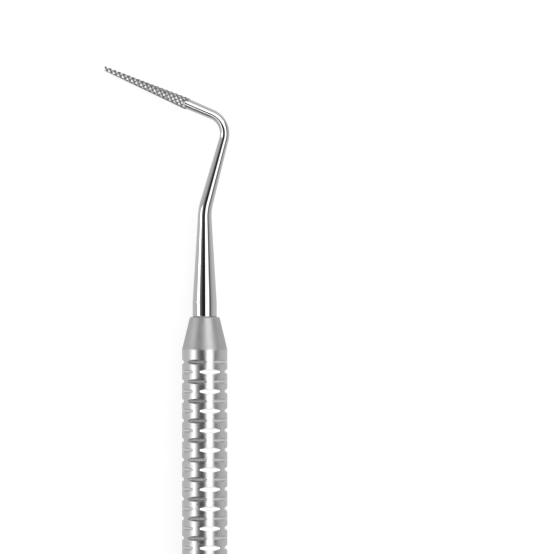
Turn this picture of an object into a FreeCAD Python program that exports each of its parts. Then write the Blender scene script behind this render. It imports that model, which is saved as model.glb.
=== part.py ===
import FreeCAD, Part
import Sketcher
import math
import os

from FreeCAD import Placement, Rotation, Vector

# Double-ended bone file, an instrument for smoothing bone. A hollow round grip with rings of
# lens-shaped cuts carries a cone at each end, and each cone holds a bent round shank that ends in
# a file: a cross-cut one at +Y and a straight-cut one at -Y. The two shanks lie in one plane and
# bend to opposite sides.
#
# The origin is on the grip's axis at the middle of its length, with +Y along the grip and +Z up.
# The instrument lies on a table: the grip touches it along a line, and the whole instrument is
# rolled about its axis until the tip of the cross-cut file touches it too.

# Driving sizes in millimetres and degrees.
SIZES = {
    # The grip tube and its cuts, in the same number of rings at both ends with a plain band
    # between them. An angle of zero points straight up.
    "grip_diameter": 8.0,
    "grip_bore": 6.0,
    "grip_length": 81.4,
    "rings_at_each_end": 20,
    "ring_spacing": 1.725,
    "first_ring_from_end": 2.19,
    "cuts_around": 5,
    "first_cut_angle": -20.7,
    "cut_depth": 0.43,
    "cut_floor_width": 0.3,
    "cut_flank_angle": 36.0,
    # The end cones, each with a spigot that is pressed into the tube.
    "cone_length": 5.7,
    "cone_top_diameter": 5.32,
    "cone_top_chamfer": 0.16,
    "spigot_length": 7.0,
    "tang_bore_end_wall": 1.2,
    "fit_clearance": 0.01,
    # The root of both shanks.
    "tang_diameter": 3.0,
    "tang_end_gap": 0.5,
    "shank_root_diameter": 4.28,
    # The shank of the cross-cut end, measured from the top of its cone. The lengths run from
    # corner to corner of the centre line, and the angles are turns.
    "cross_root_length": 2.6,
    "cross_first_leg": 18.94,
    "cross_second_leg": 16.175,
    "cross_neck": 8.106,
    "cross_first_turn": 15.6,
    "cross_second_turn": 82.6,
    "cross_first_bend_radius": 11.0,
    "cross_second_bend_radius": 3.7,
    "cross_diameter_at_first_bend": 2.45,
    "cross_diameter_at_second_bend": 1.68,
    "cross_diameter_at_file": 1.85,
    # The cross-cut file, a bar with grooves crossing on two faces and notches along its outer
    # edge. Its first row of pyramids lies off the bar's middle by the row offset.
    "cross_file_length": 16.4,
    "cross_base_height": 2.06,
    "cross_tip_height": 0.76,
    "cross_base_thickness": 1.9,
    "cross_tip_thickness": 0.8,
    "cross_chamfer_share": 0.2,
    "cross_tip_slant": 18.0,
    "groove_pitch": 0.91,
    "groove_angle": 42.0,
    "groove_depth": 0.17,
    "groove_row_offset": 0.13,
    "first_crossing_from_base": 0.03,
    "notch_depth": 0.17,
    "notch_steep_share": 0.3,
    # The shank of the straight-cut end, measured in the same way.
    "straight_root_length": 3.4,
    "straight_first_leg": 21.6,
    "straight_second_leg": 12.42,
    "straight_neck": 8.26,
    "straight_first_turn": 24.0,
    "straight_second_turn": 75.85,
    "straight_first_bend_radius": 7.0,
    "straight_second_bend_radius": 3.3,
    "straight_diameter_at_first_bend": 2.36,
    "straight_diameter_at_second_bend": 1.69,
    "straight_diameter_at_file": 1.69,
    # The straight-cut file, a tapered eight-sided bar with saw teeth on every side, and then
    # ground flat on two faces that taper towards the tip.
    "teeth": 18,
    "side_pairs": 4,
    "tooth_pitch": 0.87,
    "tooth_depth": 0.36,
    "tooth_steep_share": 0.36,
    "point_length": 0.95,
    "point_blunt_diameter": 0.12,
    "first_tooth_diameter": 1.48,
    "last_tooth_diameter": 2.74,
    "last_tooth_land": 0.12,
    "flat_thickness_at_tip": 0.9,
    "flat_thickness_at_base": 1.66,
    "flat_roll": 15.0,
}

UP = Vector(0, 0, 1)
ALONG = Vector(0, 1, 0)

# How far a cutting shape stands clear of what it cuts, and how far a sharp ridge that two cuts
# leave lies under the face that they were cut in.
CLEAR = 1.0
RIDGE_DROP = 0.01

os.makedirs("parts", exist_ok=True)
doc = FreeCAD.newDocument("bone_file")


def make_sheet():
    """Puts the driving sizes into the document's spreadsheet, one alias each."""
    sheet = doc.addObject("Spreadsheet::Sheet", "sizes")
    for row, (alias, value) in enumerate(SIZES.items(), start=1):
        sheet.set(f"A{row}", alias)
        sheet.set(f"B{row}", str(value))
        sheet.setAlias(f"B{row}", alias)
    doc.recompute()
    return sheet


sheet = make_sheet()


def size(alias):
    """A driving size, read from the spreadsheet."""
    return sheet.get(alias)


# Lengths that several pieces share.
grip_radius = size("grip_diameter") / 2
half_grip = size("grip_length") / 2
tang_length = size("cone_length") + size("spigot_length") - size("tang_bore_end_wall")


def frame(origin, x_axis, y_axis):
    """A placement with the given origin and with its local X and Y along two directions."""
    return Placement(origin, Rotation(x_axis, y_axis, x_axis.cross(y_axis), "XYZ"))


def origin_part(body, role):
    """A plane or an axis of the body's own origin."""
    return next(item for item in body.Origin.OriginFeatures if item.Role == role)


def new_body(label):
    body = doc.addObject("PartDesign::Body", label)
    body.Label = label
    return body


def new_sketch(body, name, place=None):
    """A sketch on the body's XY plane, or on a plane set against it by a placement."""
    sketch = body.newObject("Sketcher::SketchObject", name)
    sketch.AttachmentSupport = (origin_part(body, "XY_Plane"), [""])
    sketch.MapMode = "FlatFace"
    if place is not None:
        sketch.AttachmentOffset = place
    return sketch


def add_polygon(sketch, points):
    """Draws a closed polygon from (x, y) pairs."""
    corners = [Vector(x, y, 0) for x, y in points]
    for start, end in zip(corners, corners[1:] + corners[:1]):
        sketch.addGeometry(Part.LineSegment(start, end), False)


def add_circle(sketch, alias):
    """Draws a circle about the sketch's origin, with its diameter bound to the spreadsheet."""
    index = sketch.addGeometry(Part.Circle(Vector(), UP, size(alias) / 2), False)
    bound = sketch.addConstraint(Sketcher.Constraint("Diameter", index, size(alias)))
    sketch.setExpression(f"Constraints[{bound}]", f"sizes.{alias}")


def extrude(body, kind, name, sketch, length):
    """A pad or a pocket that runs equally far to both sides of its sketch."""
    feature = body.newObject(f"PartDesign::{kind}", name)
    feature.Profile = sketch
    feature.SideType = "Symmetric"
    feature.Length = length
    return feature


def build_grip():
    """The grip tube: a bored bar with rings of lens-shaped cuts, every other one half a step on.

    A cut is one straight pass of a milling cutter across the bar, square to its axis, with a flat
    floor and two sloping flanks. Where the floor runs out of the round bar, the cut ends in a
    point, which gives it the outline of a lens.
    """
    body = new_body("handle_tube")
    across = frame(Vector(), Vector(1, 0, 0), Vector(0, 0, 1))
    outline = new_sketch(body, "grip_section", across)
    add_circle(outline, "grip_diameter")
    add_circle(outline, "grip_bore")
    extrude(body, "Pad", "grip_bar", outline, size("grip_length"))

    depth = size("cut_depth")
    floor = size("cut_floor_width") / 2
    flank = math.tan(math.radians(size("cut_flank_angle")))
    mouth = floor + (depth + CLEAR) * flank
    bottom = grip_radius - depth
    top = grip_radius + CLEAR
    half_step = 180 / size("cuts_around")
    rings = int(size("rings_at_each_end"))
    for index, name in enumerate(("odd", "even")):
        along = half_grip - size("first_ring_from_end") - index * size("ring_spacing")
        angle = math.radians(size("first_cut_angle") + index * half_step)
        outward = Vector(math.sin(angle), 0, math.cos(angle))
        cutter = new_sketch(body, f"{name}_cut_section", frame(Vector(0, along, 0), ALONG, outward))
        add_polygon(cutter, [(-floor, bottom), (floor, bottom), (mouth, top), (-mouth, top)])
        cut = extrude(body, "Pocket", f"{name}_cut", cutter, size("grip_diameter"))

        pattern = body.newObject("PartDesign::MultiTransform", f"{name}_rings")
        pattern.Originals = [cut]
        around = doc.addObject("PartDesign::PolarPattern", f"{name}_cuts_around")
        around.Axis = (origin_part(body, "Y_Axis"), [""])
        around.Angle = 360
        around.setExpression("Occurrences", "sizes.cuts_around")
        lengthwise = doc.addObject("PartDesign::LinearPattern", f"{name}_rings_along")
        lengthwise.Direction = (origin_part(body, "Y_Axis"), [""])
        lengthwise.Reversed = True
        lengthwise.Mode = "Spacing"
        lengthwise.setExpression("Offset", "2 * sizes.ring_spacing")
        lengthwise.Occurrences = (rings + 1 - index) // 2
        other_end = doc.addObject("PartDesign::Mirrored", f"{name}_rings_at_other_end")
        other_end.MirrorPlane = (origin_part(body, "XZ_Plane"), [""])
        pattern.Transformations = [around, lengthwise, other_end]
        body.Tip = pattern
    return body


def build_cone(label):
    """An end cone: a blasted cone with a spigot for the tube and a blind bore for the tang."""
    body = new_body(label)
    clearance = size("fit_clearance")
    top = size("cone_top_diameter") / 2
    chamfer = size("cone_top_chamfer")
    length = size("cone_length")
    spigot = size("grip_bore") / 2 - clearance
    bore = size("tang_diameter") / 2 + clearance
    bore_end = size("tang_bore_end_wall") - size("spigot_length")
    half_section = new_sketch(body, f"{label}_half_section")
    add_polygon(half_section, [
        (0, bore_end), (bore, bore_end), (bore, length), (top - chamfer, length),
        (top, length - chamfer), (grip_radius, 0), (spigot, 0), (spigot, -size("spigot_length")),
        (0, -size("spigot_length")),
    ])
    turned = body.newObject("PartDesign::Revolution", f"{label}_turned")
    turned.Profile = half_section
    turned.ReferenceAxis = (origin_part(body, "Y_Axis"), [""])
    turned.Angle = 360
    return body


def shank_corners(end):
    """The two corners of a shank's centre line and its end at the base of the file.

    The shank rises along +Y from the top of the cone, bends away from the tip's side to +X, and
    then back over that side to -X.
    """
    first = math.radians(size(f"{end}_first_turn"))
    second = first - math.radians(size(f"{end}_second_turn"))
    first_corner = Vector(0, size(f"{end}_first_leg"), 0)
    leg = Vector(math.sin(first), math.cos(first), 0) * size(f"{end}_second_leg")
    second_corner = first_corner + leg
    neck = Vector(math.sin(second), math.cos(second), 0) * size(f"{end}_neck")
    return first_corner, second_corner, second_corner + neck


def file_place(end):
    """The middle of a file's base and the direction from there to its tip."""
    _, second_corner, base = shank_corners(end)
    return base, (base - second_corner).normalize()


def add_turned(body, name, start, direction, profile):
    """A straight turned stretch. The profile lists (distance, diameter) pairs from its start."""
    side = UP.cross(direction)
    half_section = new_sketch(body, f"{name}_half_section", frame(start, direction, side))
    outline = [(distance, diameter / 2) for distance, diameter in profile]
    add_polygon(half_section, [(profile[0][0], 0)] + outline + [(profile[-1][0], 0)])
    turned = body.newObject("PartDesign::Revolution", name)
    turned.Profile = half_section
    turned.ReferenceAxis = (half_section, ["H_Axis"])
    turned.Angle = 360


def add_bend(body, name, start, direction, turn, radius, diameter):
    """A round bend that turns by an angle in the plane of the shank, clockwise if positive."""
    axis = Vector(0, 0, -math.copysign(1, turn))
    inward = axis.cross(direction)
    centre = start + inward * radius
    section = new_sketch(body, f"{name}_section", frame(centre, inward * -1, axis))
    section.addGeometry(Part.Circle(Vector(radius, 0, 0), UP, diameter / 2), False)
    turned = body.newObject("PartDesign::Revolution", name)
    turned.Profile = section
    turned.ReferenceAxis = (section, ["V_Axis"])
    turned.Angle = abs(turn)


def add_shank(body, end):
    """The tang, the round root and the tapered, twice bent shank, up to the file's base."""
    first_turn = size(f"{end}_first_turn")
    second_turn = size(f"{end}_second_turn")
    first_radius = size(f"{end}_first_bend_radius")
    second_radius = size(f"{end}_second_bend_radius")
    first_tangent = first_radius * math.tan(math.radians(first_turn / 2))
    second_tangent = second_radius * math.tan(math.radians(second_turn / 2))
    first_corner, second_corner, base = shank_corners(end)
    leg = (second_corner - first_corner).normalize()
    neck = (base - second_corner).normalize()

    tang = size("tang_diameter")
    root = size("shank_root_diameter")
    at_first = size(f"{end}_diameter_at_first_bend")
    at_second = size(f"{end}_diameter_at_second_bend")
    first_start = size(f"{end}_first_leg") - first_tangent
    straight = [
        (size("tang_end_gap") - tang_length, tang),
        (0, tang),
        (0, root),
        (size(f"{end}_root_length"), root),
        (first_start, at_first),
    ]
    leg_length = size(f"{end}_second_leg") - first_tangent - second_tangent
    leg_start = first_corner + leg * first_tangent
    bend_start = second_corner - leg * second_tangent
    neck_start = second_corner + neck * second_tangent
    neck_length = size(f"{end}_neck") - second_tangent
    neck_profile = [(0, at_second), (neck_length, size(f"{end}_diameter_at_file"))]
    add_turned(body, f"{end}_neck", neck_start, neck, neck_profile)
    add_bend(body, f"{end}_second_bend", bend_start, leg, -second_turn, second_radius, at_second)
    add_turned(body, f"{end}_leg", leg_start, leg, [(0, at_first), (leg_length, at_second)])
    bend_at = Vector(0, first_start, 0)
    add_bend(body, f"{end}_first_bend", bend_at, ALONG, first_turn, first_radius, at_first)
    add_turned(body, f"{end}_root", Vector(), ALONG, straight)


def chamfered_rectangle(height, thickness, cut):
    """The corners of a file bar's section, with its height across X and thickness across Y."""
    x = height / 2
    y = thickness / 2
    return [
        (x, y - cut), (x - cut, y), (cut - x, y), (-x, y - cut),
        (-x, cut - y), (cut - x, -y), (x - cut, -y), (x, cut - y),
    ]


def groove_comb(step, count):
    """The section of a row of V grooves that touch each other, as (across, up) pairs."""
    comb = [(-step / 2, CLEAR)]
    for number in range(count):
        comb.append(((number - 0.5) * step, -RIDGE_DROP))
        comb.append((number * step, -size("groove_depth")))
    comb.append(((count - 0.5) * step, -RIDGE_DROP))
    comb.append(((count - 0.5) * step, CLEAR))
    return comb


def cut_grooves(body, base, axis, outer):
    """Two rows of grooves that cross on the upper face of the bar, and the same on the lower.

    The cutter leans with the face. Crossings lie on a line beside the middle of the bar, and the
    grooves leave no flat between them, so the face becomes rows of small pyramids.
    """
    length = size("cross_file_length")
    pitch = size("groove_pitch")
    angle = math.radians(size("groove_angle"))
    half_base = size("cross_base_thickness") / 2
    lean = math.atan((half_base - size("cross_tip_thickness") / 2) / length)
    face_normal = Rotation(outer, axis.cross(outer).z * math.degrees(lean)).multVec(UP)
    face_axis = outer.cross(face_normal) * math.copysign(1, outer.cross(face_normal).dot(axis))
    overlap = math.ceil(size("cross_base_height") / math.tan(angle) / pitch)
    count = math.ceil(length / pitch) + 2 * overlap
    crossing = base + UP * half_base + outer * size("groove_row_offset")
    crossing += face_axis * (size("first_crossing_from_base") - overlap * pitch)
    for name, side in (("rising", 1), ("falling", -1)):
        square = face_axis * math.sin(angle) - outer * (side * math.cos(angle))
        sketch = new_sketch(body, f"{name}_groove_section", frame(crossing, square, face_normal))
        add_polygon(sketch, groove_comb(pitch * math.sin(angle), count))
        cut = extrude(body, "Pocket", f"{name}_grooves", sketch, 4 * length)
        mirror = body.newObject("PartDesign::Mirrored", f"{name}_grooves_below")
        mirror.Originals = [cut]
        mirror.MirrorPlane = (origin_part(body, "XY_Plane"), [""])
        body.Tip = mirror


def cut_notches(body, base, axis, outer):
    """Saw-toothed notches along the outer edge, steep on the side of the shank."""
    length = size("cross_file_length")
    pitch = size("groove_pitch")
    at_base = size("cross_base_height") / 2
    taper = (at_base - size("cross_tip_height") / 2) / length
    valley = size("first_crossing_from_base") + pitch / 2
    peak = valley + size("notch_steep_share") * pitch
    comb = [(peak - pitch, at_base + CLEAR), (peak - pitch, at_base)]
    while valley < length:
        comb.append((valley, at_base - taper * valley - size("notch_depth")))
        comb.append((peak, at_base - taper * peak - RIDGE_DROP))
        valley += pitch
        peak += pitch
    comb.append((comb[-1][0], at_base + CLEAR))
    sketch = new_sketch(body, "notch_section", frame(base, axis, outer))
    add_polygon(sketch, comb)
    extrude(body, "Pocket", "edge_notches", sketch, 2 * size("cross_base_thickness"))


def cut_tip(body, base, axis, outer):
    """The slanted end of the tip, longest along the outer edge."""
    end = size("cross_file_length")
    half = size("cross_tip_height") / 2
    back = 2 * half * math.tan(math.radians(size("cross_tip_slant")))
    beyond = [(end + CLEAR, -half - CLEAR), (end + CLEAR, half + CLEAR)]
    slant = [(end, half + CLEAR), (end, half), (end - back, -half), (end - back, -half - CLEAR)]
    sketch = new_sketch(body, "tip_slant", frame(base, axis, outer))
    add_polygon(sketch, beyond + slant)
    extrude(body, "Pocket", "slanted_tip", sketch, 2 * size("cross_base_thickness"))


def build_cross_cut_end():
    """The cross-cut end: a chamfered bar that tapers to a slanted tip, with crossing grooves."""
    body = new_body("cross_cut_file")
    base, axis = file_place("cross")
    tip = base + axis * size("cross_file_length")
    outer = UP.cross(axis) * math.copysign(1, UP.cross(axis).y)
    sections = []
    for name, place in (("base", base), ("tip", tip)):
        height = size(f"cross_{name}_height")
        thickness = size(f"cross_{name}_thickness")
        section = new_sketch(body, f"cross_file_{name}", frame(place, outer, UP))
        chamfer = size("cross_chamfer_share") * thickness
        add_polygon(section, chamfered_rectangle(height, thickness, chamfer))
        sections.append(section)
    doc.recompute()
    bar = body.newObject("PartDesign::AdditiveLoft", "cross_file_bar")
    bar.Profile = sections[0]
    bar.Sections = sections[1:]
    bar.Ruled = True
    cut_tip(body, base, axis, outer)
    cut_grooves(body, base, axis, outer)
    cut_notches(body, base, axis, outer)
    doc.recompute()
    add_shank(body, "cross")
    return body


def tooth_profile():
    """Half the outline of the straight-cut file as (distance from its base, radius) pairs."""
    teeth = int(size("teeth"))
    pitch = size("tooth_pitch")
    steep = size("tooth_steep_share") * pitch
    first = size("first_tooth_diameter") / 2
    last = size("last_tooth_diameter") / 2
    neck = size("straight_diameter_at_file") / 2
    land_end = last - neck + size("last_tooth_land")
    profile = [(0, neck), (last - neck, last), (land_end, last)]
    for number in range(1, teeth):
        peak_at = land_end + number * pitch
        peak = last + (first - last) * number / (teeth - 1)
        profile.append((peak_at - steep, peak - size("tooth_depth")))
        profile.append((peak_at, peak))
    profile.append((profile[-1][0] + size("point_length"), size("point_blunt_diameter") / 2))
    return profile


def build_straight_cut_end():
    """The straight-cut end: an eight-sided toothed bar, ground flat on two faces.

    Each pair of opposite sides has the same teeth, ground in straight passes square to it.
    """
    body = new_body("straight_cut_file")
    base, axis = file_place("straight")
    profile = tooth_profile()
    length = profile[-1][0]
    widest = size("last_tooth_diameter")
    outline = profile + [(distance, -radius) for distance, radius in reversed(profile)]
    passes = int(size("side_pairs"))
    for number in range(passes):
        side = Rotation(axis, size("flat_roll") + 180 * number / passes).multVec(UP.cross(axis))
        sketch = new_sketch(body, f"teeth_outline_{number}", frame(base, axis, side))
        if number == 0:
            add_polygon(sketch, outline)
            extrude(body, "Pad", "toothed_blank", sketch, 2 * widest)
            continue
        for sign in (1, -1):
            high = sign * (widest + CLEAR)
            edge = [(distance, sign * radius) for distance, radius in profile]
            add_polygon(sketch, [(0, high)] + edge + [(length, high)])
        extrude(body, "Pocket", f"teeth_pass_{number}", sketch, 4 * widest)

    facing = Rotation(axis, size("flat_roll")).multVec(UP)
    ground = new_sketch(body, "ground_flats", frame(base, axis, facing))
    at_base = size("flat_thickness_at_base") / 2
    at_tip = size("flat_thickness_at_tip") / 2
    for sign in (1, -1):
        high = sign * (widest + CLEAR)
        add_polygon(ground, [(0, sign * at_base), (length, sign * at_tip), (length, high), (0, high)])
    extrude(body, "Pocket", "ground_faces", ground, 4 * widest)
    doc.recompute()
    add_shank(body, "straight")
    return body


def rest_roll(shape):
    """The roll about the grip's axis that brings the lowest corner of a tip down to the table."""
    corners = [vertex.Point for vertex in shape.Vertexes]
    low, high = 0.0, 45.0
    for _ in range(40):
        roll = (low + high) / 2
        turned = Rotation(ALONG, -roll)
        lowest = min(turned.multVec(point).z for point in corners)
        low, high = (low, roll) if lowest < -grip_radius else (roll, high)
    return low


grip = build_grip()
cross_cone = build_cone("cross_cut_end_cone")
straight_cone = build_cone("straight_cut_end_cone")
cross_file = build_cross_cut_end()
straight_file = build_straight_cut_end()
doc.recompute()

roll = Rotation(ALONG, -rest_roll(cross_file.Shape))
half_turn = Rotation(UP, 180)
cross_cone.Placement = Placement(Vector(0, half_grip, 0), Rotation())
straight_cone.Placement = Placement(Vector(0, -half_grip, 0), half_turn)
cone_top = half_grip + size("cone_length")
cross_file.Placement = Placement(Vector(0, cone_top, 0), roll)
straight_file.Placement = Placement(Vector(0, -cone_top, 0), roll.multiply(half_turn))
doc.recompute()

for item in doc.Objects:
    if "Invalid" in item.State or "Error" in item.State:
        raise RuntimeError(f"{item.Label} failed: {item.State}")
for piece in (grip, cross_cone, straight_cone, cross_file, straight_file):
    shape = piece.Shape
    if shape.isNull() or not shape.isValid() or len(shape.Solids) != 1:
        raise RuntimeError(f"{piece.Label} is not one valid solid")
    shape.exportStep(f"parts/{piece.Label}.step")
    print(piece.Label, round(shape.Volume, 3), "mm3,", len(shape.Faces), "faces")
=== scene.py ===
# %% [markdown]
# # A double-ended bone file
# The object is a surgical hand tool, 185 mm long and all of stainless steel. A hollow round grip
# with rings of milled cuts carries a bead-blasted cone at each end. Each cone holds a polished,
# twice bent shank that ends in a small file: one with crossing grooves, one with straight teeth.
#
# The CAD model is the fixed frame. This lesson copies its grip, cones and teeth, gives the copies
# true normals and finishes, and sweeps the two shanks again with finer rings, because a mirror
# finish shows every facet.

import math

import bmesh
import bpy
from mathutils import Matrix, Vector


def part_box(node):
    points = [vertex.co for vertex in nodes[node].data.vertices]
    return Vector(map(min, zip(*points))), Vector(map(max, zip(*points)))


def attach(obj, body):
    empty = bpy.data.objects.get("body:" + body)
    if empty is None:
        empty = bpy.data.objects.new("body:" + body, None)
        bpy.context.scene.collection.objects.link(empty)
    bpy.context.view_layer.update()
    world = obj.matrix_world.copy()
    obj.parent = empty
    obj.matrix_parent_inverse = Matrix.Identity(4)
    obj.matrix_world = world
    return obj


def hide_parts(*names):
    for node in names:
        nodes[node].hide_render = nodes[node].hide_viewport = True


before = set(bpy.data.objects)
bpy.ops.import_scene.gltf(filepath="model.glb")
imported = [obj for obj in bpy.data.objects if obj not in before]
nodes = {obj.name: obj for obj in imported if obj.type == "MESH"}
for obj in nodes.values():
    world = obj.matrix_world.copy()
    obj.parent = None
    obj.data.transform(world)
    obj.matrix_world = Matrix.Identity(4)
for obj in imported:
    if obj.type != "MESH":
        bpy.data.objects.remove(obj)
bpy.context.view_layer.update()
print("CAD nodes:", sorted(nodes))

# %% [markdown]
# ## Sizes
# The frame gives the sizes that the pieces share: the grip's radius, where the cones end, and how
# high the table is. What the frame can't give in one number is written here in millimetres, such
# as the lengths and the turns of each shank, as someone with a gauge would write them down.

# %% Sizes
MM = 0.001
UP = Vector((0, 0, 1))
ALONG = Vector((0, 1, 0))

grip_low, grip_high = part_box("handle_tube")
grip_radius = grip_high.z
table_height = grip_low.z
cone_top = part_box("cross_cut_end_cone")[1].y

# The lengths run from corner to corner of a shank's centre line, and the turns are in degrees.
# The diameters are those where the first bend starts, where the second one starts and ends, and
# at the file. The file's heights are those at its base and at its tip.
SHANKS = {
    "cross": {
        "first_leg": 18.94, "second_leg": 16.175, "neck": 8.106,
        "turns": (15.6, 82.6), "bend_radii": (11.0, 3.7), "file_length": 16.4,
        "root_length": 2.6, "root_diameter": 4.28,
        "diameters": (2.45, 1.68, 1.68, 1.85), "file_heights": (2.06, 0.76),
    },
    "straight": {
        "first_leg": 21.6, "second_leg": 12.42, "neck": 8.26,
        "turns": (24.0, 75.85), "bend_radii": (7.0, 3.3),
        "root_length": 3.4, "root_diameter": 4.28,
        "diameters": (2.36, 1.69, 1.69, 1.69),
    },
}
print("grip radius", round(grip_radius / MM, 2), "mm, cone top", round(cone_top / MM, 2), "mm")

# %% [markdown]
# ## The roll of the ends
# The tool lies on the table on its grip and on the tip of the cross-cut file, so its two shanks
# lie in a plane that leans from the level. The lean is read from the frame: all points of a file's
# CAD node spread along that plane, and the direction of the widest spread gives its angle.

# %% Find the lean of the shanks' plane
def lean_of(node):
    """The angle of a node's points about the Y axis, from +X towards +Z."""
    points = [vertex.co for vertex in nodes[node].data.vertices]
    spread_xx = sum(point.x * point.x for point in points)
    spread_zz = sum(point.z * point.z for point in points)
    spread_xz = sum(point.x * point.z for point in points)
    return 0.5 * math.atan2(2 * spread_xz, spread_xx - spread_zz)


lean = lean_of("cross_cut_file")
print("lean of the shanks", round(math.degrees(lean), 2), "degrees")


def end_matrix(end):
    """From an end's own frame, with the cone's top at the origin and +Y outwards, to the row's."""
    roll = Matrix.Rotation(-lean, 4, "Y")
    if end == "straight":
        half_turn = Matrix.Rotation(math.pi, 4, "Z")
        return Matrix.Translation((0, -cone_top, 0)) @ roll @ half_turn
    return Matrix.Translation((0, cone_top, 0)) @ roll


# %% [markdown]
# ## The centre line of a shank
# A shank is drawn from round bar and bent twice, away from its tip and then back over it. Its
# centre line is straight legs joined by arcs. The line is kept as stations: a point, a direction
# and the distance travelled so far. A curve object with a bevel could do this too, but stations
# also give the diameter anywhere on the line.

# %% Stations along a shank
STATION_STEP = 0.22 * MM
OVERLAP_INTO_FILE = 0.5 * MM


def shank_stations(end):
    """The stations in the end's own frame, and where along the line its legs and bends end."""
    sizes = SHANKS[end]
    legs = [sizes["first_leg"] * MM, sizes["second_leg"] * MM, sizes["neck"] * MM]
    turns = [math.radians(turn) for turn in sizes["turns"]]
    radii = [radius * MM for radius in sizes["bend_radii"]]
    cut_off = [radius * math.tan(turn / 2) for radius, turn in zip(radii, turns)]
    straights = [
        legs[0] - cut_off[0], legs[1] - cut_off[0] - cut_off[1], legs[2] - cut_off[1]]
    point, heading, travelled = Vector((0, 0, 0)), 0.0, 0.0
    stations, marks = [], []
    for number, length in enumerate(straights):
        if number == len(straights) - 1:
            length += OVERLAP_INTO_FILE
        direction = Vector((math.sin(heading), math.cos(heading), 0))
        steps = max(1, round(length / STATION_STEP))
        for step in range(steps):
            along = length * step / steps
            stations.append((point + direction * along, direction, travelled + along))
        point = point + direction * length
        travelled += length
        marks.append(travelled)
        if number == len(turns):
            stations.append((point.copy(), direction, travelled))
            break
        turn = turns[number] if number == 0 else -turns[number]
        radius = radii[number]
        side = Vector((math.cos(heading), -math.sin(heading), 0)) * math.copysign(1, turn)
        centre = point + side * radius
        steps = max(2, round(radius * abs(turn) / STATION_STEP))
        for step in range(steps):
            angle = turn * step / steps
            turned = Matrix.Rotation(-angle, 3, "Z")
            bent = turned @ direction
            place = centre - turned @ side * radius
            stations.append((place, bent, travelled + radius * abs(angle)))
        point = centre - Matrix.Rotation(-turn, 3, "Z") @ side * radius
        heading += turn
        travelled += radius * abs(turn)
        marks.append(travelled)
    return stations, marks


# %% [markdown]
# ## The diameter along a shank
# The bar is a plain cylinder where it leaves the cone, then tapers along the first leg and the
# second, and swells a little into the file. The given diameters are joined by straight lines, and
# then averaged over a short window, as polishing does to a turned taper.

# %% Radius at a distance
POLISH_WINDOW = 1.3 * MM
ROOT_WINDOW = 0.15 * MM
POLISH_SAMPLES = 9


def radius_profile(end, marks):
    """A function from the distance along the line to the radius there."""
    sizes = SHANKS[end]
    places = [0, sizes["root_length"] * MM, marks[0], marks[2], marks[3], marks[4]]
    widths = [sizes["root_diameter"], sizes["root_diameter"], *sizes["diameters"]]

    def plain(distance):
        if distance <= places[0]:
            return widths[0] * MM / 2
        for start, stop, first, last in zip(places, places[1:], widths, widths[1:]):
            if distance <= stop:
                share = (distance - start) / (stop - start)
                return (first + (last - first) * share) * MM / 2
        return widths[-1] * MM / 2

    def polished(distance):
        window = min(POLISH_WINDOW, max(0.0, distance - places[1]) + ROOT_WINDOW)
        shares = [2 * number / (POLISH_SAMPLES - 1) - 1 for number in range(POLISH_SAMPLES)]
        return sum(plain(distance + window * share) for share in shares) / POLISH_SAMPLES

    return polished


# %% [markdown]
# ## Sweeping the bar
# A ring of points stands square to the line at each station, and neighbouring rings are joined by
# quads. All stations lie in one plane, so no ring twists against the next one. The bottom ring is
# closed with a cap that sits on the cone, and the far end runs a little way into the file.

# %% Sweep a shank
RING_POINTS = 96


def sweep_shank(name, end):
    """A smooth swept bar in the row's frame."""
    stations, marks = shank_stations(end)
    radius_at = radius_profile(end, marks)
    mesh = bpy.data.meshes.new(name)
    built = bmesh.new()
    rings = []
    for point, direction, distance in stations:
        side = Vector((direction.y, -direction.x, 0))
        radius = radius_at(distance)
        ring = []
        for number in range(RING_POINTS):
            angle = 2 * math.pi * number / RING_POINTS
            away = side * math.cos(angle) + UP * math.sin(angle)
            ring.append(built.verts.new(point + away * radius))
        rings.append(ring)
    for ring, following in zip(rings, rings[1:]):
        for number in range(RING_POINTS):
            after = (number + 1) % RING_POINTS
            built.faces.new((ring[number], ring[after], following[after], following[number]))
    built.faces.new(rings[0])
    built.faces.new(reversed(rings[-1]))
    bmesh.ops.recalc_face_normals(built, faces=built.faces)
    for face in built.faces:
        face.smooth = len(face.verts) == 4
    built.transform(end_matrix(end))
    built.to_mesh(mesh)
    built.free()
    shank = bpy.data.objects.new(name, mesh)
    bpy.context.scene.collection.objects.link(shank)
    print(name, len(stations), "rings,", len(mesh.polygons), "faces")
    return shank


# %% [markdown]
# ## The files
# A file's teeth are ground faces that meet in sharp edges, and the CAD node already holds them as
# exact flat facets. So the teeth are lifted from the node: a copy of its mesh keeps the faces that
# lie beyond the base of the file, and its facets stay flat. The open neck hole is filled, and the
# swept shank stands in it.

# %% Lift a file's teeth from its node
WELD_DISTANCE = 0.0005 * MM
BASE_TOLERANCE = 0.02 * MM


def file_base(end):
    """The middle of a file's base and the direction to its tip, in the row's frame."""
    sizes = SHANKS[end]
    first = math.radians(sizes["turns"][0])
    second = first - math.radians(sizes["turns"][1])
    corner = Vector((0, sizes["first_leg"] * MM, 0))
    corner += Vector((math.sin(first), math.cos(first), 0)) * sizes["second_leg"] * MM
    axis = Vector((math.sin(second), math.cos(second), 0))
    base = corner + axis * sizes["neck"] * MM
    place = end_matrix(end)
    return place @ base, (place.to_3x3() @ axis).normalized()


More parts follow.
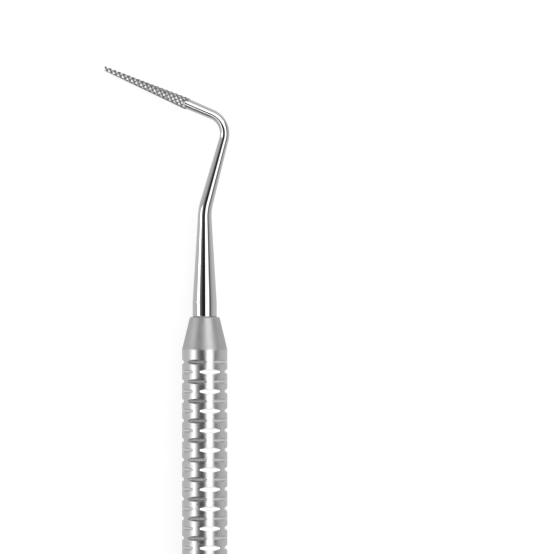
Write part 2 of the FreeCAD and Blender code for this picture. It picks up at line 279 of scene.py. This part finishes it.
def lift_teeth(name, node, end):
    """A flat-shaded copy of the node's faces beyond the file's base."""
    base, axis = file_base(end)
    built = bmesh.new()
    built.from_mesh(nodes[node].data)
    bmesh.ops.remove_doubles(built, verts=built.verts, dist=WELD_DISTANCE)
    before_base = [
        vert for vert in built.verts if (vert.co - base).dot(axis) < -BASE_TOLERANCE]
    bmesh.ops.delete(built, geom=before_base, context="VERTS")
    open_edges = [edge for edge in built.edges if edge.is_boundary]
    bmesh.ops.holes_fill(built, edges=open_edges, sides=0)
    bmesh.ops.recalc_face_normals(built, faces=built.faces)
    for face in built.faces:
        face.smooth = False
    mesh = bpy.data.meshes.new(name)
    built.to_mesh(mesh)
    built.free()
    teeth = bpy.data.objects.new(name, mesh)
    bpy.context.scene.collection.objects.link(teeth)
    still_open = sum(1 for edge in open_edges if edge.is_valid and edge.is_boundary)
    print(name, len(mesh.polygons), "faces,", still_open, "open edges")
    return teeth


# %% [markdown]
# ## Painted shade on the edges of the cross-cut file
# The teeth along both edges of this file are painted darker than those on its face. This is
# painted shade, for the edge teeth that face away from the light. So the faces along the edges get
# a material index of their own. A face belongs to an edge by its place across the file, as a share
# of half the file's height there.

# %% Mark the teeth along the edges
OUTER_EDGE_SHARE = 0.30
INNER_EDGE_SHARE = -0.58
FACE_TEETH, SHADED_EDGE_TEETH = 0, 1


def mark_shaded_edge_teeth(teeth, end):
    """Gives the faces along a file's two edges their own material index."""
    base, axis = file_base(end)
    outer = (axis.cross(end_matrix(end).to_3x3() @ UP)).normalized()
    outer = outer if outer.dot(ALONG) > 0 else -outer
    length = SHANKS[end]["file_length"] * MM
    base_height, tip_height = SHANKS[end]["file_heights"]
    marked = 0
    for polygon in teeth.data.polygons:
        place = polygon.center - base
        share = place.dot(axis) / length
        half_height = (base_height + (tip_height - base_height) * share) * MM / 2
        across = place.dot(outer) / half_height
        # Faces along either edge take the index that gets the painted shade.
        on_edge = across > OUTER_EDGE_SHARE or across < INNER_EDGE_SHARE
        polygon.material_index = SHADED_EDGE_TEETH if on_edge else FACE_TEETH
        marked += on_edge
    print(teeth.name, marked, "faces along the edges")


# %% Make the two ends
cross_shank = sweep_shank("cross_cut_shank", "cross")
straight_shank = sweep_shank("straight_cut_shank", "straight")
cross_teeth = lift_teeth("cross_cut_teeth", "cross_cut_file", "cross")
straight_teeth = lift_teeth("straight_cut_teeth", "straight_cut_file", "straight")
mark_shaded_edge_teeth(cross_teeth, "cross")

# %% [markdown]
# ## True normals for the grip and the cones
# The CAD mesh is a set of flat triangles, but a turned surface must shade as one curve. Its true
# normal is known: it points away from the axis. So the grip and the cones are copied from their
# nodes, and each corner of a triangle on a turned surface gets the direction away from the axis,
# with the lean that the flat triangle has along it. The milled cuts are really flat, and their
# corners keep the flat normal.

# %% Turned surfaces shade round, milled ones flat
ROUND_ENOUGH = math.cos(math.radians(18))
LEAST_ACROSS = 0.5
OUTER_WALL_DEPTH = 0.02 * MM
BORE_DEPTH = 0.9 * MM
TURNED, MILLED = 0, 1


def copy_turned(name, node, may_be_round):
    """A copy of a node with round normals about the Y axis where the test says so, else flat."""
    mesh = nodes[node].data.copy()
    mesh.name = name
    mesh.shade_smooth()
    normals = []
    round_faces = 0
    for polygon in mesh.polygons:
        corners = [mesh.vertices[index].co for index in polygon.vertices]
        across = Vector((polygon.normal.x, 0, polygon.normal.z))
        aways = [Vector((corner.x, 0, corner.z)).normalized() for corner in corners]
        sign = 1 if across.dot(aways[0]) >= 0 else -1
        is_round = across.length > LEAST_ACROSS and may_be_round(corners) and all(
            across.normalized().dot(away) * sign > ROUND_ENOUGH for away in aways)
        round_faces += is_round
        polygon.material_index = TURNED if is_round else MILLED
        for away in aways:
            if is_round:
                normals.append(away * across.length * sign + ALONG * polygon.normal.y)
            else:
                normals.append(polygon.normal.copy())
    mesh.normals_split_custom_set(normals)
    piece = bpy.data.objects.new(name, mesh)
    bpy.context.scene.collection.objects.link(piece)
    print(name, round_faces, "round and", len(mesh.polygons) - round_faces, "flat triangles")
    return piece


def on_grip_surface(corners):
    """True where all corners lie on the tube's outer wall or on its bore."""
    distances = [math.hypot(corner.x, corner.z) for corner in corners]
    on_wall = min(distances) > grip_radius - OUTER_WALL_DEPTH
    return on_wall or max(distances) < grip_radius - BORE_DEPTH


def anywhere(corners):
    """True for all triangles, as on the cones, where each surface is turned."""
    return True


grip = copy_turned("grip", "handle_tube", on_grip_surface)
cross_cone = copy_turned("cross_cut_cone", "cross_cut_end_cone", anywhere)
straight_cone = copy_turned("straight_cut_cone", "straight_cut_end_cone", anywhere)

# %% [markdown]
# ## Finishes
# All of it is one steel, and only the surface differs from place to place. Steel reflects a
# little over half of the light and has no colour of its own, so the finishes differ in roughness
# and in fine relief. Two shader groups hold the reliefs: fine rings left by turning, and the
# pits left by blasting.

# %% Helpers for shader nodes
STEEL = 0.56


def new_group(name, inputs, outputs):
    """An empty shader node group with named float or vector sockets."""
    group = bpy.data.node_groups.new(name, "ShaderNodeTree")
    for socket, kind, value in inputs:
        made = group.interface.new_socket(
            name=socket, in_out="INPUT", socket_type=f"NodeSocket{kind}")
        if kind == "Float":
            made.default_value = value
    for socket, kind in outputs:
        group.interface.new_socket(
            name=socket, in_out="OUTPUT", socket_type=f"NodeSocket{kind}")
    start = group.nodes.new("NodeGroupInput")
    finish = group.nodes.new("NodeGroupOutput")
    return group, start, finish


def math_node(tree, operation, first, second=None, third=None):
    """A Math node whose inputs are sockets or numbers. Returns its output."""
    node = tree.nodes.new("ShaderNodeMath")
    node.operation = operation
    for index, value in enumerate((first, second, third)):
        if value is None:
            continue
        if isinstance(value, (int, float)):
            node.inputs[index].default_value = value
        else:
            tree.links.new(value, node.inputs[index])
    return node.outputs[0]


def ramp_node(tree, value, stops):
    """A colour ramp of grey stops, given as (place, level) pairs. Returns its colour."""
    node = tree.nodes.new("ShaderNodeValToRGB")
    tree.links.new(value, node.inputs["Fac"])
    elements = node.color_ramp.elements
    while len(elements) < len(stops):
        elements.new(0.5)
    for element, (place, level) in zip(elements, stops):
        element.position = place
        element.color = (level, level, level, 1)
    return node.outputs["Color"]


def noise_node(tree, vector, scale, detail):
    """A noise texture. Returns its value."""
    node = tree.nodes.new("ShaderNodeTexNoise")
    node.inputs["Scale"].default_value = scale
    node.inputs["Detail"].default_value = detail
    tree.links.new(vector, node.inputs["Vector"])
    return node.outputs["Fac"]


# %% Group: rings left by turning
RING_DRIFT = 60.0
COARSE_RINGS = 0.11


def turning_rings_group():
    """Fine rings about the Y axis as a height, and a coarser pattern of them as a mask."""
    group, start, finish = new_group(
        "turning rings",
        [("Ring Pitch", "Float", 0.05), ("Waviness", "Float", 0.4)],
        [("Height", "Float"), ("Mask", "Float")])
    place = group.nodes.new("ShaderNodeTexCoord").outputs["Object"]
    split = group.nodes.new("ShaderNodeSeparateXYZ")
    group.links.new(place, split.inputs[0])
    per_metre = math_node(group, "DIVIDE", 1 / MM, start.outputs["Ring Pitch"])
    wave_place = group.nodes.new("ShaderNodeCombineXYZ")
    along = math_node(group, "MULTIPLY", split.outputs["Y"], per_metre)
    group.links.new(along, wave_place.inputs["Y"])
    drift = math_node(group, "MULTIPLY", split.outputs["X"], RING_DRIFT)
    wander = math_node(group, "MULTIPLY", drift, start.outputs["Waviness"])
    group.links.new(wander, wave_place.inputs["X"])
    rings = noise_node(group, wave_place.outputs[0], 1.0, 1.0)
    coarse = noise_node(group, wave_place.outputs[0], COARSE_RINGS, 1.0)
    group.links.new(rings, finish.inputs["Height"])
    group.links.new(coarse, finish.inputs["Mask"])
    return group


# %% Group: pits left by blasting
BROAD_PITS = 0.12


def blasted_pits_group():
    """Small round pits close together, as a height and as a mottled mask."""
    group, start, finish = new_group(
        "blasted pits", [("Pits Per Mm", "Float", 6.0)], [("Height", "Float"), ("Mask", "Float")])
    place = group.nodes.new("ShaderNodeTexCoord").outputs["Object"]
    scale = group.nodes.new("ShaderNodeVectorMath")
    scale.operation = "SCALE"
    group.links.new(place, scale.inputs[0])
    per_metre = math_node(group, "MULTIPLY", start.outputs["Pits Per Mm"], 1 / MM)
    group.links.new(per_metre, scale.inputs["Scale"])
    fine = noise_node(group, scale.outputs[0], 1.0, 3.0)
    broad = noise_node(group, scale.outputs[0], BROAD_PITS, 2.0)
    group.links.new(fine, finish.inputs["Height"])
    group.links.new(broad, finish.inputs["Mask"])
    return group


turning_rings = turning_rings_group()
blasted_pits = blasted_pits_group()
print("shader groups:", turning_rings.name, "and", blasted_pits.name)


# %% [markdown]
# ## Materials
# Each finish is a Principled BSDF that is fully metallic. The groups feed its roughness through a
# narrow range, and its normal through a weak bump, so the light panels keep clean edges on the
# polished shank and blur on the blasted cone. The cuts in the grip are smoother than the steel
# around them, and their level above the steel's is a painted highlight. The teeth along the edges
# of the cross-cut file get a lower level as painted shade, and the files are duller.

# %% A steel finish
MASK_LOW, MASK_HIGH = 0.3, 0.7


def steel_finish(name, level, roughness, spread, group, settings, relief, depth):
    """A steel material. The group's mask varies the roughness, and its height makes the bump."""
    material = bpy.data.materials.new(name)
    material.use_nodes = True
    tree = material.node_tree
    shader = tree.nodes["Principled BSDF"]
    shader.inputs["Base Color"].default_value = (level, level, level, 1)
    shader.inputs["Metallic"].default_value = 1.0
    texture = tree.nodes.new("ShaderNodeGroup")
    texture.node_tree = group
    for socket, value in settings.items():
        texture.inputs[socket].default_value = value
    span = tree.nodes.new("ShaderNodeMapRange")
    tree.links.new(texture.outputs["Mask"], span.inputs["Value"])
    span.inputs["From Min"].default_value = MASK_LOW
    span.inputs["From Max"].default_value = MASK_HIGH
    span.inputs["To Min"].default_value = max(0.0, roughness - spread)
    span.inputs["To Max"].default_value = roughness + spread
    tree.links.new(span.outputs["Result"], shader.inputs["Roughness"])
    bump = tree.nodes.new("ShaderNodeBump")
    bump.inputs["Strength"].default_value = relief
    bump.inputs["Distance"].default_value = depth
    tree.links.new(texture.outputs["Height"], bump.inputs["Height"])
    tree.links.new(bump.outputs["Normal"], shader.inputs["Normal"])
    return material


polished = steel_finish(
    "polished shank", level=STEEL, roughness=0.06, spread=0.02, group=turning_rings,
    settings={"Ring Pitch": 0.9, "Waviness": 3.0}, relief=0.02, depth=0.002 * MM)
burnished = steel_finish(
    "burnished grip", level=STEEL, roughness=0.29, spread=0.03, group=turning_rings,
    settings={"Ring Pitch": 0.09, "Waviness": 0.2}, relief=0.04, depth=0.003 * MM)
# Painted highlight: a level above the steel's makes the cuts reflect brighter. The lower roughness
# is their smoother finish.
milled = steel_finish(
    "milled cuts", level=0.68, roughness=0.12, spread=0.04, group=turning_rings,
    settings={"Ring Pitch": 0.3, "Waviness": 1.0}, relief=0.05, depth=0.002 * MM)
blasted = steel_finish(
    "blasted cone", level=0.49, roughness=0.48, spread=0.05, group=blasted_pits,
    settings={"Pits Per Mm": 7.0}, relief=0.35, depth=0.01 * MM)
cut_steel = steel_finish(
    "crossed cuts", level=0.42, roughness=0.44, spread=0.04, group=blasted_pits,
    settings={"Pits Per Mm": 9.0}, relief=0.1, depth=0.004 * MM)
# Painted shade: the teeth along the cross-cut file's edges get a darker level than those on its
# face.
edge_shade_steel = steel_finish(
    "edge teeth painted shade", level=0.29, roughness=0.48, spread=0.04, group=blasted_pits,
    settings={"Pits Per Mm": 9.0}, relief=0.1, depth=0.004 * MM)
ground_steel = steel_finish(
    "ground teeth", level=0.5, roughness=0.33, spread=0.05, group=blasted_pits,
    settings={"Pits Per Mm": 12.0}, relief=0.2, depth=0.006 * MM)
for finish in (polished, burnished, milled, blasted, cut_steel, edge_shade_steel, ground_steel):
    print("finish:", finish.name)


# %% Give each piece its finish and its body
def dress(piece, *materials):
    """Gives a piece these materials. A face whose index has none takes the last one."""
    indices = [polygon.material_index for polygon in piece.data.polygons]
    piece.data.materials.clear()
    for material in materials:
        piece.data.materials.append(material)
    last = len(materials) - 1
    piece.data.polygons.foreach_set("material_index", [min(index, last) for index in indices])


for piece, node, slot, materials in (
    (grip, "handle_tube", "grip_steel", (burnished, milled)),
    (cross_cone, "cross_cut_end_cone", "blasted_steel", (blasted,)),
    (straight_cone, "straight_cut_end_cone", "blasted_steel", (blasted,)),
    (cross_shank, "cross_cut_file", "polished_steel", (polished,)),
    (cross_teeth, "cross_cut_file", "polished_steel", (cut_steel, edge_shade_steel)),
    (straight_shank, "straight_cut_file", "polished_steel", (polished,)),
    (straight_teeth, "straight_cut_file", "polished_steel", (ground_steel,)),
):
    dress(piece, *materials)
    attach(piece, "root")
    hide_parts(node)
    print("dressed", piece.name)

# %% [markdown]
# ## The studio
# Polished steel shows its surroundings and little else, so the studio is the world itself: a dark
# room with a tall light panel on the right and a slanting strip on the left with an upright top.
# Weaker panels stand beyond both ends of the tool and over the left of its cone, and a dark one
# stands far right. Painting them into the world, by direction, keeps their reflections in place
# all along the tool. A direction's X and Y are used as flat coordinates, as in a fisheye picture.

# %% Group: one light panel in the world
PANEL_SIZES = ("Middle X", "Middle Y", "Half Width", "Half Height", "Turn", "Edge")


def light_panel_group():
    """A soft-edged rectangle over a direction's X and Y, turned about its middle."""
    group, start, finish = new_group(
        "light panel",
        [("Direction", "Vector", None)] + [(name, "Float", 0.0) for name in PANEL_SIZES],
        [("Mask", "Float")])
    sockets = start.outputs
    middle = group.nodes.new("ShaderNodeCombineXYZ")
    group.links.new(sockets["Middle X"], middle.inputs["X"])
    group.links.new(sockets["Middle Y"], middle.inputs["Y"])
    turned = group.nodes.new("ShaderNodeVectorRotate")
    turned.rotation_type = "Z_AXIS"
    group.links.new(sockets["Direction"], turned.inputs["Vector"])
    group.links.new(middle.outputs[0], turned.inputs["Center"])
    group.links.new(math_node(group, "MULTIPLY", sockets["Turn"], -1.0), turned.inputs["Angle"])
    away = group.nodes.new("ShaderNodeVectorMath")
    away.operation = "SUBTRACT"
    group.links.new(turned.outputs[0], away.inputs[0])
    group.links.new(middle.outputs[0], away.inputs[1])
    split = group.nodes.new("ShaderNodeSeparateXYZ")
    group.links.new(away.outputs[0], split.inputs[0])
    inside = None
    for axis, half in (("X", "Half Width"), ("Y", "Half Height")):
        distance = math_node(group, "ABSOLUTE", split.outputs[axis])
        within = math_node(group, "SUBTRACT", sockets[half], distance)
        inside = within if inside is None else math_node(group, "MINIMUM", inside, within)
    share = math_node(group, "DIVIDE", inside, sockets["Edge"])
    clamped = math_node(group, "MINIMUM", math_node(group, "MAXIMUM", share, 0.0), 1.0)
    group.links.new(clamped, finish.inputs["Mask"])
    return group


# %% Paint the world
# Each panel has its PANEL_SIZES and then its strength. Lengths are parts of a unit direction, and
# turns are in degrees. A later panel covers an earlier one.
PANELS = (
    (0.41, 0.0, 0.29, 0.67, 0.0, 0.03, 2.2),  # the tall panel
    (0.45, 0.95, 0.50, 0.27, 0.0, 0.04, 0.8),  # beyond the cross-cut end
    (-0.68, -0.19, 0.07, 0.407, 43.6, 0.025, 3.4),  # the slanting strip
    (-0.87, 0.075, 0.105, 0.09, 0.0, 0.025, 3.2),  # its upright top
    (-0.84, 0.48, 0.12, 0.12, 0.0, 0.04, 1.7),  # for the left of the cone
    (0.05, -0.95, 0.55, 0.27, 0.0, 0.04, 0.45),  # beyond the straight-cut end
    (0.85, 0.0, 0.04, 0.5, 0.0, 0.03, 0.06),  # the dark one
)
# The room between the panels, from the far left to the far right of a direction's X.
ROOM = (
    (-1.0, 0.71), (-0.90, 0.71), (-0.77, 0.55), (-0.66, 0.34), (-0.56, 0.20), (-0.45, 0.08),
    (-0.30, 0.035), (-0.07, 0.02), (0.06, 0.02), (0.76, 0.30), (0.83, 0.20), (0.91, 0.44),
    (0.97, 0.62), (1.0, 0.62),
)
FLOOR_GLOW = 0.86


def paint_world():
    """The room and its light panels above the table's level, and the table's white below it.

    The camera itself sees plain white beyond the table."""
    world = bpy.data.worlds.new("studio")
    bpy.context.scene.world = world
    world.use_nodes = True
    tree = world.node_tree
    panel_group = light_panel_group()
    direction = tree.nodes.new("ShaderNodeTexCoord").outputs["Generated"]
    flat = tree.nodes.new("ShaderNodeVectorMath")
    flat.operation = "MULTIPLY"
    flat.inputs[1].default_value = (1, 1, 0)
    tree.links.new(direction, flat.inputs[0])
    split = tree.nodes.new("ShaderNodeSeparateXYZ")
    tree.links.new(direction, split.inputs[0])
    share = math_node(tree, "MULTIPLY_ADD", split.outputs["X"], 0.5, 0.5)
    light = ramp_node(tree, share, [((place + 1) / 2, level) for place, level in ROOM])
    for *sizes, strength in PANELS:
        panel = tree.nodes.new("ShaderNodeGroup")
        panel.node_tree = panel_group
        tree.links.new(flat.outputs[0], panel.inputs["Direction"])
        for name, value in zip(PANEL_SIZES, sizes):
            panel.inputs[name].default_value = math.radians(value) if name == "Turn" else value
        mix = tree.nodes.new("ShaderNodeMix")
        mix.data_type = "RGBA"
        tree.links.new(panel.outputs["Mask"], mix.inputs["Factor"])
        tree.links.new(light, mix.inputs["A"])
        mix.inputs["B"].default_value = (strength, strength, strength, 1)
        light = mix.outputs["Result"]
    below = math_node(tree, "LESS_THAN", split.outputs["Z"], 0.0)
    mix = tree.nodes.new("ShaderNodeMix")
    mix.data_type = "RGBA"
    tree.links.new(below, mix.inputs["Factor"])
    tree.links.new(light, mix.inputs["A"])
    mix.inputs["B"].default_value = (FLOOR_GLOW, FLOOR_GLOW, FLOOR_GLOW, 1)
    seen = tree.nodes.new("ShaderNodeMix")
    seen.data_type = "RGBA"
    path = tree.nodes.new("ShaderNodeLightPath")
    tree.links.new(path.outputs["Is Camera Ray"], seen.inputs["Factor"])
    tree.links.new(mix.outputs["Result"], seen.inputs["A"])
    seen.inputs["B"].default_value = (1, 1, 1, 1)
    tree.links.new(seen.outputs["Result"], tree.nodes["Background"].inputs["Color"])
    tree.nodes["Background"].inputs["Strength"].default_value = 1.0


paint_world()
print("light panels:", len(PANELS))

# %% [markdown]
# ## A lamp for the neck
# The neck of the cross-cut end slopes down to the table, so what it reflects lies elsewhere than
# what the grip reflects. A small lamp hangs over it, a hand's width away, and gives the neck and
# the bend the white line that runs round them. It is so near that the grip hardly catches it.

# %% Hang the lamp
LAMP_DIRECTION = Vector((0.03, 0.50, 0.865)).normalized()
LAMP_DISTANCE = 60 * MM
LAMP_WIDTH = 50 * MM
LAMP_HEIGHT = 44 * MM
LAMP_LEVEL = 2.2


def hang_lamp():
    """A rectangular lamp that faces the neck and looks as bright from there as a panel."""
    base, axis = file_base("cross")
    target = base - axis * (SHANKS["cross"]["neck"] / 2 * MM)
    lamp = bpy.data.lights.new("neck lamp", "AREA")
    lamp.shape = "RECTANGLE"
    lamp.size = LAMP_WIDTH
    lamp.size_y = LAMP_HEIGHT
    lamp.energy = LAMP_LEVEL * math.pi * LAMP_WIDTH * LAMP_HEIGHT
    hung = bpy.data.objects.new("neck lamp", lamp)
    bpy.context.scene.collection.objects.link(hung)
    hung.location = target + LAMP_DIRECTION * LAMP_DISTANCE
    hung.rotation_euler = LAMP_DIRECTION.to_track_quat("Z", "Y").to_euler()
    hung.visible_camera = False
    print("lamp", round(lamp.energy * 1000, 1), "mW")


hang_lamp()

# %% [markdown]
# ## The table
# The tool lies on a white table. The table catches the tool's soft shadow as a plain matte
# surface. A glow that only camera and glossy rays get lifts it to white for the camera and to a
# light grey for the steel, and casts no light on the tool.

# %% Lay the table
TABLE_SIZE = 3.0
TABLE_MATTE = 0.15
GLOW_TO_CAMERA = 0.89
GLOW_TO_STEEL = 0.66


def lay_table():
    """A matte plane under the tool, with its glow."""
    bpy.ops.mesh.primitive_plane_add(size=TABLE_SIZE, location=(0, 0, table_height))
    table = bpy.context.object
    table.name = "table"
    material = bpy.data.materials.new("white table")
    material.use_nodes = True
    tree = material.node_tree
    tree.nodes.remove(tree.nodes["Principled BSDF"])
    matte = tree.nodes.new("ShaderNodeBsdfDiffuse")
    matte.inputs["Color"].default_value = (TABLE_MATTE, TABLE_MATTE, TABLE_MATTE, 1)
    glow = tree.nodes.new("ShaderNodeEmission")
    glow.inputs["Color"].default_value = (1, 1, 1, 1)
    path = tree.nodes.new("ShaderNodeLightPath")
    to_camera = math_node(tree, "MULTIPLY", path.outputs["Is Camera Ray"], GLOW_TO_CAMERA)
    to_steel = math_node(tree, "MULTIPLY", path.outputs["Is Glossy Ray"], GLOW_TO_STEEL)
    strength = math_node(tree, "MAXIMUM", to_camera, to_steel)
    tree.links.new(strength, glow.inputs["Strength"])
    both = tree.nodes.new("ShaderNodeAddShader")
    tree.links.new(matte.outputs[0], both.inputs[0])
    tree.links.new(glow.outputs[0], both.inputs[1])
    tree.links.new(both.outputs[0], tree.nodes["Material Output"].inputs["Surface"])
    dress(table, material)
    print("table", TABLE_SIZE, "m wide at", round(table_height / MM, 2), "mm")


lay_table()

# %% [markdown]
# ## The camera
# The photograph looks straight down on the tool and shows no perspective, so the camera has a
# very long lens and stands a metre above the table. It frames the cross-cut end, its cone and
# some of the grip, with the tool left of the middle.

# %% Set the camera
FRAME_WIDTH = 97.84 * MM
FRAME_MIDDLE = (12.77 * MM, 53.48 * MM)
CAMERA_HEIGHT = 1.0
NEAREST, FARTHEST = 0.01, 10.0


def set_camera():
    """A camera that looks straight down and takes in the frame's width at the grip's axis."""
    camera = bpy.data.objects.new("camera", bpy.data.cameras.new("camera"))
    bpy.context.scene.collection.objects.link(camera)
    camera.data.lens = camera.data.sensor_width * CAMERA_HEIGHT / FRAME_WIDTH
    camera.data.clip_start = NEAREST
    camera.data.clip_end = FARTHEST
    camera.location = (*FRAME_MIDDLE, CAMERA_HEIGHT)
    bpy.context.scene.camera = camera
    print("lens", round(camera.data.lens), "mm")


set_camera()
bpy.context.scene.view_settings.view_transform = "Standard"

# %% [markdown]
# ## The end
# At the end the view layer is brought up to date.

# %% Finish
bpy.context.view_layer.update()
